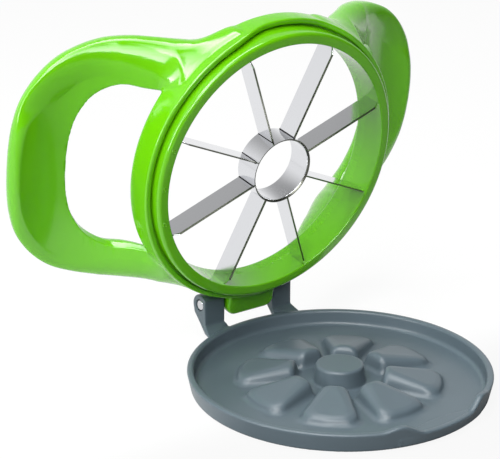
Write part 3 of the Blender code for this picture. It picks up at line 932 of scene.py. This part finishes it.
@dataclass
class Collar:
    """Green ring that nests in the shell and traps the ends of the blades."""

    rings: Rings
    hinge: Hinge
    recess: FrontRecess = FrontRecess()
    front_z: float = 3.33 * MM
    back_z: float = 12.1 * MM
    flange_z: float = 8.5 * MM
    flange_width: float = 0.7 * MM
    corner_round: float = 1.4 * MM
    lip_round: float = 0.5 * MM
    root_round: float = 0.35 * MM
    bore_step: float = 0.02 * MM
    liner_wall: float = 0.3 * MM
    liner_reach: float = 1.2 * MM
    mark_turns: tuple[float, ...] = (-162.0, -178.5, 165.5)
    mark_radius: float = 0.72 * MM
    mark_bead: float = 0.14 * MM
    mark_steps: int = 48
    bead_steps: int = 12
    ring_steps: int = 192
    round_steps: int = 7

    def build(self) -> Piece:
        """Turn the collar.

        Returns:
            The collar, swung open.
        """
        bore = self.rings.opening - self.bore_step
        liner = bore + self.liner_wall
        flange = self.rings.collar + self.flange_width
        end = self.back_z + self.liner_reach
        section = [(bore, self.front_z, self.lip_round), (self.rings.collar, self.front_z, self.corner_round),
                   (self.rings.collar, self.flange_z, self.root_round), (flange, self.flange_z, 0),
                   (flange, self.back_z, 0), (liner, self.back_z, 0), (liner, end, 0), (bore, end, 0)]
        piece = lathe("blade_collar", rounded(section, self.round_steps), self.ring_steps)
        for vert in piece.data.vertices:
            if abs(vert.co.z - self.flange_z) < 2 * self.root_round:
                vert.co.z += self.recess.lift(vert.co)
        join([piece, *(self._mark(math.radians(turn)) for turn in self.mark_turns)])
        self.hinge.swing_open(piece)
        dress(piece, GREEN_COLLAR.material())
        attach(piece, Body.SLICER.value)
        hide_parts("blade_retaining_collar")
        return piece

    def _mark(self, angle: float) -> Piece:
        """Add one raised circle, as an ejector pin leaves it, on the collar's front face.

        Args:
            angle: Its direction from the middle.

        Returns:
            The bead.
        """
        middle = (self.rings.collar + self.rings.opening) / 2
        place = (middle * math.cos(angle), middle * math.sin(angle), self.front_z)
        select_only()
        bpy.ops.mesh.primitive_torus_add(major_segments=self.mark_steps, minor_segments=self.bead_steps,
                                         major_radius=self.mark_radius, minor_radius=self.mark_bead,
                                         location=place)
        mark = new_piece("ejector_mark")
        bpy.ops.object.transform_apply(location=True, rotation=False, scale=False)
        return mark


@dataclass
class Cutters:
    """Steel of the slicer: eight ground strips and the core tube between them."""

    rings: Rings
    hinge: Hinge
    count: int = 8
    thickness: float = 0.6 * MM
    edge_z: float = 2.64 * MM
    back_z: float = 11.8 * MM
    bevel: float = 0.7 * MM
    edge_thickness: float = 0.16 * MM
    seat: float = 2.6 * MM
    # Reach of the strip's spread root from the tube, whose steel is painted shadow
    shadowed_root_reach: float = 0.34 * MM
    root_spread: float = 2.6
    shoulder_z: float = 4.7 * MM
    shoulder_inset: float = 0.1 * MM
    shoulder_run: float = 2.4 * MM
    burr_round: float = 0.05 * MM
    smooth_below: float = 14.0
    core_edge_z: float = 1.57 * MM
    core_back_z: float = 11.94 * MM
    core_back_round: float = 0.15 * MM
    core_bevel: float = 0.55 * MM
    core_bevel_round: float = 0.3 * MM
    core_edge_thickness: float = 0.35 * MM
    # Share of the core's bevel, from its edge, that gets the painted shade
    core_painted_shade_share: float = 0.9
    core_round_steps: int = 3
    core_steps: int = 128

    def build(self) -> list[Piece]:
        """Make the blades and the core cutter.

        Returns:
            The pieces, swung open.
        """
        # The ground edges' steel is darkened as painted shade, and the roots' steel is painted shadow
        steel, ground, shadowed_root = BLADE_STEEL.material(), GROUND_STEEL_PAINTED_SHADE.material(), ROOT_STEEL_PAINTED_SHADOW.material()
        pieces = []
        strip = self._strip()
        for number in range(self.count):
            turn = Matrix.Rotation(math.tau * (number + 0.5) / self.count, 4, "Z")
            blade = copy_moved(strip, f"blade_strip_{number + 1}", turn)
            self.hinge.swing_open(blade)
            dress(blade, steel, ground, shadowed_root, smooth=self.smooth_below)
            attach(blade, Body.SLICER.value)
            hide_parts(f"blade_{number + 1}")
            pieces.append(blade)
        bpy.data.objects.remove(strip, do_unlink=True)
        core = self._core()
        self.hinge.swing_open(core)
        # The core's ground edge gets the same painted shade
        dress(core, CORE_STEEL.material(), ground, smooth=self.smooth_below)
        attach(core, Body.SLICER.value)
        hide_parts("core_cutter")
        return [*pieces, core]

    def _strip(self) -> Piece:
        """Make one ground strip along +X, from the core tube into the collar.

        Returns:
            The strip, with its ground edge in painted shade and its root in painted shadow, numbered for their
            materials.
        """
        start = self.rings.core - self.rings.core_wall / 2
        end = self.rings.opening + self.seat
        shoulder = self.rings.opening - self.shoulder_inset
        nick = shoulder - self.shoulder_run
        shadowed_root = self.rings.core + self.shadowed_root_reach
        bevel_top = self.edge_z + self.bevel
        select_only()
        middle = ((start + end) / 2, 0, (self.edge_z + self.back_z) / 2)
        size = (end - start, self.thickness, self.back_z - self.edge_z)
        bpy.ops.mesh.primitive_cube_add(size=1, location=middle, scale=size)
        strip = new_piece("strip")
        bpy.ops.object.transform_apply(location=True, rotation=False, scale=True)
        bpy.ops.object.mode_set(mode="EDIT")
        for height in (bevel_top, self.shoulder_z):
            bpy.ops.mesh.select_all(action="SELECT")
            bpy.ops.mesh.bisect(plane_co=(0, 0, height), plane_no=(0, 0, 1))
        for place in (shadowed_root, nick, shoulder):
            bpy.ops.mesh.select_all(action="SELECT")
            bpy.ops.mesh.bisect(plane_co=(place, 0, 0), plane_no=(1, 0, 0))
        bm = bmesh.from_edit_mesh(strip.data)
        for vert in bm.verts:
            if vert.co.x > shoulder - SLACK and vert.co.z < self.shoulder_z:
                vert.co.z = self.shoulder_z
            elif vert.co.z < bevel_top - SLACK:
                vert.co.y *= self.edge_thickness / self.thickness
            if vert.co.x < shadowed_root - SLACK:
                vert.co.y *= self.root_spread
        for face in bm.faces:
            spot = face.calc_center_median()
            # The root by the tube gets the painted shadow
            if spot.x < shadowed_root:
                face.material_index = Zone.ROOT_PAINTED_SHADOW.value
            # The ground bevel gets the painted shade
            elif spot.z < bevel_top and spot.x < nick:
                face.material_index = Zone.GROUND_PAINTED_SHADE.value
        bmesh.update_edit_mesh(strip.data)
        close_skin()
        round_edges(strip, self.burr_round, segments=2, sharper_than=40)
        mark_grain(strip)
        return strip

    def _core(self) -> Piece:
        """Turn the core tube, ground to an edge at its front.

        Returns:
            The tube, with its ground edge numbered for its material of painted shade.
        """
        outer = self.rings.core
        inner = outer - self.rings.core_wall
        bevel_top = self.core_edge_z + self.core_bevel
        painted_shade_below = self.core_edge_z + self.core_bevel * self.core_painted_shade_share
        section = [(outer, self.core_back_z, self.core_back_round),
                   (inner, self.core_back_z, self.core_back_round), (inner, bevel_top, self.core_bevel_round),
                   (outer - self.core_edge_thickness, self.core_edge_z, 0), (outer, self.core_edge_z, 0)]
        core = lathe("core_tube", rounded(section, self.core_round_steps), self.core_steps)
        # Faces near the front edge get the painted shade
        for face in core.data.polygons:
            if face.center.z < painted_shade_below:
                face.material_index = Zone.GROUND_PAINTED_SHADE.value
        mark_grain(core)
        return core


# The tray


@dataclass
class PresserTray:
    """Grey moulding: the dish with its rim, push-through bosses, front ledge and hinge lugs."""

    rings: Rings
    hinge: Hinge
    base_inset: float = 1.45 * MM
    height: float = 6.82 * MM
    floor: float = 1.2 * MM
    rim_round: float = 0.6 * MM
    rim_inner_round: float = 0.9 * MM
    base_round: float = 0.8 * MM
    floor_fillet: float = 1.5 * MM
    wall_draft: float = 0.4 * MM
    boss_clearance: float = 3.08 * MM
    boss_draft: float = 0.8 * MM
    boss_top: float = 8.0 * MM
    boss_round: float = 1.0 * MM
    boss_fillet: float = 0.8 * MM
    wedge_count: int = 8
    wedge_nose_clearance: float = 4.52 * MM
    wedge_tail_clearance: float = 13.4 * MM
    wedge_nose_top: float = 7.2 * MM
    wedge_tail_top: float = 4.0 * MM
    wedge_nose_half_width: float = 3.1 * MM
    wedge_tail_half_width: float = 8.8 * MM
    wedge_side_spread: float = 2.8 * MM
    wedge_nose_spread: float = 2.0 * MM
    wedge_tail_spread: float = 1.6 * MM
    wedge_nose_round: float = 2.4 * MM
    wedge_tail_round: float = 4.2 * MM
    wedge_tail_bulge: float = 1.8 * MM
    # Step inwards and height of each ring of a wedge, as shares of its spread and of its own height
    wedge_ring_shares: tuple[Point, ...] = ((-0.06, -0.10), (0.0, 0.02), (0.24, 0.24), (0.52, 0.68),
                                            (0.85, 0.89), (1.25, 0.98), (1.75, 1.04))
    notch_sill: float = 4.6 * MM
    notch_horn: float = 1.3 * MM
    notch_sill_end: float = math.radians(11.0)
    notch_horn_turn: float = math.radians(21.0)
    notch_end: float = math.radians(29.0)
    ledge_top: float = 2.9 * MM
    ledge_half_width: float = 19.5 * MM
    ledge_depth: float = 4.5 * MM
    lug_inner_x: float = 11.2 * MM
    lug_outer_x: float = 20.5 * MM
    lug_head_radius: float = 4.2 * MM
    lug_front_setback: float = 3.68 * MM
    lug_root_overlap: float = 1.6 * MM
    lug_root_inset: float = 1.3 * MM
    lug_foot_drop: float = 1.82 * MM
    lug_foot_height: float = 3.4 * MM
    lug_foot_flare: float = 1.8 * MM
    lug_back_drop: float = 3.59 * MM
    lug_back_reach: float = 3.5 * MM
    lug_head_end: float = math.radians(18.0)
    lug_edge_round: float = 0.5 * MM
    kept_share: float = 0.56
    foot_fillet: float = 1.8 * MM
    fillet_until: float = 46.0 * MM
    tray_steps: int = 384
    round_steps: int = 6
    wedge_steps: int = 4

    def build(self) -> Piece:
        """Make the whole tray.

        Returns:
            The fused piece.
        """
        shells = [self._dish(), *(self._wedge(number) for number in range(self.wedge_count)), self._ledge(),
                  *(self._lug(side) for side in Side)]
        fusion = Fusion(kept_share=self.kept_share, widest=self.foot_fillet, reach=self._fillet_reach)
        piece = fusion.fuse("tray_moulding", shells)
        dress(piece, GREY_ABS.material())
        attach(piece, Body.TRAY.value)
        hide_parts("presser_tray")
        return piece

    def _fillet_reach(self, place: Vector) -> float:
        """Say how wide a fillet is: even in the dish, none at the lugs, which the folded shell must clear."""
        inside = ease((self.fillet_until - place.y) / self.foot_fillet)
        return max(self.foot_fillet * inside * ease(place.z / self.floor), SLACK)

    def _dish(self) -> Piece:
        """Turn the dish with its rim and centre boss, and wave the rim at the finger notch.

        Returns:
            The dish.
        """
        rim = self.rings.rim
        inner = rim - self.rings.rim_wall
        boss = self.rings.core - self.rings.core_wall - self.boss_clearance
        section = [(0, 0, 0), (rim - self.base_inset, 0, self.base_round), (rim, self.height, self.rim_round),
                   (inner, self.height, self.rim_inner_round),
                   (inner - self.wall_draft, self.floor, self.floor_fillet),
                   (boss + self.boss_draft, self.floor, self.boss_fillet),
                   (boss, self.boss_top, self.boss_round), (0, self.boss_top, 0)]
        dish = lathe("dish_shell", rounded(section, self.round_steps), self.tray_steps)
        for vert in dish.data.vertices:
            if vert.co.xy.length > inner - self.floor_fillet and vert.co.z > self.height / 2:
                vert.co.z += self._rim_offset(math.atan2(vert.co.y, vert.co.x))
        return dish

    def _rim_offset(self, angle: float) -> float:
        """Say how far the rim stands above or below its plain height.

        Args:
            angle: Direction from the middle.

        Returns:
            The height over the plain rim, below zero in the notch.
        """
        away = abs(math.remainder(angle - NOTCH_TURN, math.tau))
        dip = self.notch_sill - self.height
        if away <= self.notch_horn_turn:
            share = (away - self.notch_sill_end) / (self.notch_horn_turn - self.notch_sill_end)
            return dip + (self.notch_horn - dip) * ease(share)
        return self.notch_horn * ease((self.notch_end - away) / (self.notch_end - self.notch_horn_turn))

    def _wedge(self, number: int) -> Piece:
        """Make one wedge-shaped boss that lies under one slice.

        Args:
            number: Its number round the tray.

        Returns:
            The boss, in its place.
        """
        shares = curve_through(self.wedge_ring_shares, self.wedge_steps)
        wedge = loft(f"wedge_{number + 1}_shell", [self._wedge_ring(1 - inward, up) for inward, up in shares])
        wedge.data.transform(Matrix.Rotation(math.tau * number / self.wedge_count, 4, "Z"))
        return wedge

    def _wedge_ring(self, spread: float, height_share: float) -> list[Vector]:
        """Lay out one ring of a wedge boss, between its foot on the floor and its sloping top.

        Args:
            spread: Share of the spread of the foot.
            height_share: Share of the boss's height.

        Returns:
            The points of the ring.
        """
        nose_x = self.rings.core + self.wedge_nose_clearance
        tail_x = self.rings.opening - self.wedge_tail_clearance
        nose = nose_x - self.wedge_nose_spread * spread
        tail = tail_x + self.wedge_tail_spread * spread
        nose_half = self.wedge_nose_half_width + self.wedge_side_spread * spread
        tail_half = self.wedge_tail_half_width + self.wedge_side_spread * spread
        corners = [(nose, -nose_half, self.wedge_nose_round), (tail, -tail_half, self.wedge_tail_round),
                   (tail + self.wedge_tail_bulge, 0, 2 * tail_half), (tail, tail_half, self.wedge_tail_round),
                   (nose, nose_half, self.wedge_nose_round)]
        slope = (self.wedge_tail_top - self.wedge_nose_top) / (tail_x - nose_x)
        ring = []
        for x, y in rounded(corners, self.round_steps):
            top = self.wedge_nose_top + slope * (x - nose_x)
            ring.append(Vector((x, y, self.floor + (top - self.floor) * height_share)))
        return ring

    def _ledge(self) -> Piece:
        """Make the bare ledge inside the finger notch, whose inner edge is an arc.

        Returns:
            The ledge.
        """
        bend = (self.ledge_half_width ** 2 + self.ledge_depth ** 2) / (2 * self.ledge_depth)
        seat = self.rings.rim - self.rings.rim_wall / 2
        centre = math.sqrt(seat ** 2 - self.ledge_half_width ** 2) - self.ledge_depth + bend
        half_bend = math.asin(self.ledge_half_width / bend)
        half_seat = math.asin(self.ledge_half_width / seat)
        steps = 6 * self.round_steps
        outline = []
        for step in range(steps + 1):
            angle = half_bend * (2 * step / steps - 1)
            outline.append((centre - bend * math.cos(angle), bend * math.sin(angle)))
        for step in range(1, steps):
            angle = half_seat * (1 - 2 * step / steps)
            outline.append((seat * math.cos(angle), seat * math.sin(angle)))
        rings = [[Vector((x, y, z)) for x, y in outline] for z in (self.floor / 2, self.ledge_top)]
        ledge = loft("ledge_shell", rings)
        ledge.data.transform(Matrix.Rotation(NOTCH_TURN, 4, "Z"))
        return ledge

    def _lug(self, side: Side) -> Piece:
        """Make one hinge lug with a foot that flares on the rim, round its edges and bore it.

        Args:
            side: The side it stands on.

        Returns:
            The bored lug.
        """
        front = self.hinge.y - self.lug_front_setback
        root = math.sqrt(self.rings.rim ** 2 - self.lug_outer_x ** 2) - self.lug_root_overlap
        back = self.hinge.y + self.lug_back_reach
        foot_z = self.height - self.lug_foot_drop
        foot_top = foot_z + self.lug_foot_height
        back_z = self.hinge.z - self.lug_back_drop
        head_start = math.acos(-self.lug_front_setback / self.lug_head_radius)
        steps = 4 * self.round_steps
        outline = [(root, foot_z), (front, foot_top)]
        for step in range(steps + 1):
            angle = head_start + (-self.lug_head_end - head_start) * step / steps
            outline.append((self.hinge.y + self.lug_head_radius * math.cos(angle),
                            self.hinge.z + self.lug_head_radius * math.sin(angle)))
        outline += [(back, back_z), (back - (back_z - foot_top), foot_top), (back - (back_z - foot_z), foot_z)]
        cheeks = []
        for x, outward in ((self.lug_inner_x, -1), (self.lug_outer_x, 1)):
            flares = [outward * self.lug_foot_flare] + [0.0] * (len(outline) - 1)
            cheeks.append([Vector((side.value * (x + flare), y, z)) for (y, z), flare in zip(outline, flares)])
        lug = loft(f"lug_{side.name.lower()}_shell", cheeks)
        round_edges(lug, self.lug_edge_round)
        cut(lug, self._rim_plug())
        cut(lug, self.hinge.rod("lug_bore", self.hinge.bore_radius, 3 * self.lug_outer_x))
        return lug

    def _rim_plug(self) -> Piece:
        """Turn the shape that keeps a lug's foot out of the dish and clear of the folded shell.

        Returns:
            The cutting tool.
        """
        below, above = -self.floor, 2 * self.height
        root = self.rings.rim - self.lug_root_inset
        clear = self.rings.rim + self.rings.fit_gap
        shelf = self.height + self.rings.fit_gap / 3
        section = [(0, below), (root, below), (root, shelf), (clear, shelf), (clear, above), (0, above)]
        return lathe("rim_plug", section, self.tray_steps)


@dataclass
class HingePin:
    """Steel pin that stays in the tray's lugs and carries the knuckle."""

    hinge: Hinge
    half_length: float = 20.2 * MM
    end_round: float = 0.4 * MM
    steps: int = 64

    def build(self) -> Piece:
        """Make the pin with its rounded ends.

        Returns:
            The pin.
        """
        pin = self.hinge.rod("hinge_pin_rod", self.hinge.pin_radius, 2 * self.half_length, self.steps)
        bpy.ops.object.transform_apply(location=True, rotation=True, scale=True)
        round_edges(pin, self.end_round)
        mark_grain(pin)
        dress(pin, PIN_STEEL.material())
        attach(pin, Body.TRAY.value)
        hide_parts("hinge_pin")
        return pin


# The studio


@dataclass(frozen=True)
class SoftBox:
    """Soft box that faces the slicer: degrees round from +X and up from the floor, then metres and watts."""

    name: str
    turn: float
    rise: float
    width: float
    height: float
    power: float
    distance: float = 1.10
    top_fade: float = 0.15

    def hang(self, aim: Vector) -> None:
        """Hang the box, brighter at its foot than at its top.

        Args:
            aim: The place that it faces.
        """
        light = bpy.data.lights.new(self.name, "AREA")
        light.shape = "RECTANGLE"
        light.size = self.width
        light.size_y = self.height
        light.energy = self.power
        light.use_nodes = True
        tree = light.node_tree
        tree.nodes.clear()
        upright = add_node(tree, "NewGeometry").outputs["Parametric"]
        height_share = add_node(tree, "SeparateXYZ", inputs={"Vector": upright}).outputs["Y"]
        fade = add_range(tree, height_share, (0.0, 1.0), (1.0, self.top_fade))
        glow = add_node(tree, "Emission", inputs={"Strength": fade})
        add_node(tree, "OutputLight", inputs={"Surface": glow})
        lamp = bpy.data.objects.new(self.name, light)
        bpy.context.scene.collection.objects.link(lamp)
        turn, rise = math.radians(self.turn), math.radians(self.rise)
        away = Vector((math.cos(rise) * math.cos(turn), math.cos(rise) * math.sin(turn), math.sin(rise)))
        lamp.location = aim + away * self.distance
        lamp.rotation_euler = (-away).to_track_quat("-Z", "Y").to_euler()


@dataclass
class Studio:
    """Pale floor, soft boxes, the room that metal and gloss mirror, and the camera of the picture."""

    camera_place: Corner = (-0.322342, -0.386748, 0.233523)
    camera_back: Corner = (-0.557101, -0.762579, 0.328803)
    focal_pixels: float = 1532.67
    sensor_mm: float = 36.0
    clip_start: float = 0.01
    aim: Corner = (0.0, 0.04, 0.06)
    # The floor's paper goes from grey to white behind the tray, and shows as white by this share
    floor_size: float = 6.0
    near_paper: str = "8a8a8a"
    far_paper: str = "e6e6e6"
    grey_until: float = -0.02
    white_from: float = 0.02
    white_share: float = 0.91
    # The room is bright towards the backdrop and darker towards the ceiling
    backdrop_way: Corner = (-0.09, 0.996, 0.0)
    backdrop_span: Point = (-0.3, 0.6)
    room_levels: Point = (0.06, 0.66)
    ceiling_span: Point = (0.25, 0.95)
    ceiling_level: float = 0.2
    soft_boxes: tuple[SoftBox, ...] = (
        SoftBox("camera_box", turn=-130.0, rise=42.0, width=0.74, height=0.80, power=20.0),
        SoftBox("left_box", turn=-160.0, rise=62.0, width=0.60, height=0.60, power=13.0),
        SoftBox("top_box", turn=100.0, rise=82.0, width=0.60, height=0.45, power=11.0),
        SoftBox("left_strip", turn=178.0, rise=22.0, width=0.26, height=0.60, power=9.0),
    )

    def build(self) -> None:
        """Set the floor, the world, the lamps and the camera."""
        self._floor()
        self._world()
        for box in self.soft_boxes:
            box.hang(Vector(self.aim))
        self._camera()
        bpy.context.scene.view_settings.view_transform = "Standard"

    def _floor(self) -> None:
        """Lay the floor under the tray. It shows white to the camera and still takes the shadow."""
        select_only()
        bpy.ops.mesh.primitive_plane_add(size=self.floor_size, location=(0, 0, 0))
        floor = new_piece("studio_floor")
        material = empty_material("studio_floor_paper")
        tree = material.node_tree
        rays = add_node(tree, "LightPath").outputs
        place = add_node(tree, "TexCoord").outputs["Object"]
        across = add_node(tree, "SeparateXYZ", inputs={"Vector": place}).outputs["Y"]
        behind = add_node(tree, "MapRange", {"interpolation_type": "SMOOTHSTEP"},
                          {"Value": across, "From Min": self.grey_until, "From Max": self.white_from})
        mirrored = add_math(tree, "MAXIMUM", rays["Is Glossy Ray"], rays["Is Transmission Ray"])
        backdrop = add_math(tree, "MULTIPLY", mirrored, behind)
        shown = add_math(tree, "MAXIMUM", rays["Is Camera Ray"], backdrop)
        share = add_math(tree, "MULTIPLY", shown, self.white_share)
        shade = add_node(tree, "Mix", {"data_type": "RGBA"},
                         {"Factor": behind, 6: linear(self.near_paper), 7: linear(self.far_paper)})
        paper = add_node(tree, "BsdfDiffuse", inputs={"Color": shade.outputs[2]})
        glow = add_node(tree, "Emission", inputs={"Color": WHITE, "Strength": 1.0})
        mix = add_node(tree, "MixShader", inputs={0: share, 1: paper, 2: glow})
        add_node(tree, "OutputMaterial", inputs={"Surface": mix})
        floor.data.materials.append(material)

    def _world(self) -> None:
        """Light the room evenly and show white behind the object and in its reflections."""
        world = bpy.data.worlds.new("studio_room")
        bpy.context.scene.world = world
        world.use_nodes = True
        tree = world.node_tree
        tree.nodes.clear()
        rays = add_node(tree, "LightPath").outputs
        way = add_node(tree, "TexCoord").outputs["Generated"]
        behind = add_node(tree, "VectorMath", {"operation": "DOT_PRODUCT"}, {0: way, 1: self.backdrop_way})
        backdrop = add_range(tree, behind.outputs["Value"], self.backdrop_span, (0.0, 1.0))
        height = add_node(tree, "SeparateXYZ", inputs={"Vector": way}).outputs["Z"]
        ceiling = add_range(tree, height, self.ceiling_span, (1.0, self.ceiling_level))
        mirrored = add_math(tree, "MULTIPLY", rays["Is Glossy Ray"], backdrop)
        mirrored = add_math(tree, "MULTIPLY", mirrored, ceiling)
        seen = add_math(tree, "MAXIMUM", rays["Is Camera Ray"], rays["Is Transmission Ray"])
        seen = add_math(tree, "MAXIMUM", seen, mirrored)
        level = add_range(tree, backdrop, (0.0, 1.0), self.room_levels)
        lit = add_math(tree, "MULTIPLY", level, ceiling)
        room = add_node(tree, "Background", inputs={"Color": WHITE, "Strength": lit})
        white = add_node(tree, "Background", inputs={"Color": WHITE, "Strength": 1.0})
        mix = add_node(tree, "MixShader", inputs={0: seen, 1: room, 2: white})
        add_node(tree, "OutputWorld", inputs={"Surface": mix})

    def _camera(self) -> None:
        """Set the camera of the picture."""
        data = bpy.data.cameras.new("picture_camera")
        data.sensor_width = self.sensor_mm
        data.lens = self.focal_pixels / PICTURE_SIZE[0] * self.sensor_mm
        data.clip_start = self.clip_start
        camera = bpy.data.objects.new("picture_camera", data)
        bpy.context.scene.collection.objects.link(camera)
        back = Vector(self.camera_back).normalized()
        right = Vector((0, 0, 1)).cross(back).normalized()
        place = Matrix((right, back.cross(right), back)).transposed().to_4x4()
        place.translation = Vector(self.camera_place)
        camera.matrix_world = place
        bpy.context.scene.camera = camera


def main() -> None:
    """Build the press piece by piece, dress it, and set the studio round it."""
    logging.basicConfig(level=logging.INFO, format="%(message)s")
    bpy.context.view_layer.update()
    hinge = Hinge.from_frame()
    rings = Rings.from_frame()
    Studio().build()
    PresserTray(rings, hinge).build()
    HingePin(hinge).build()
    HandleFrame(rings, hinge).build()
    Collar(rings, hinge).build()
    Cutters(rings, hinge).build()


if __name__ == "__main__":
    main()
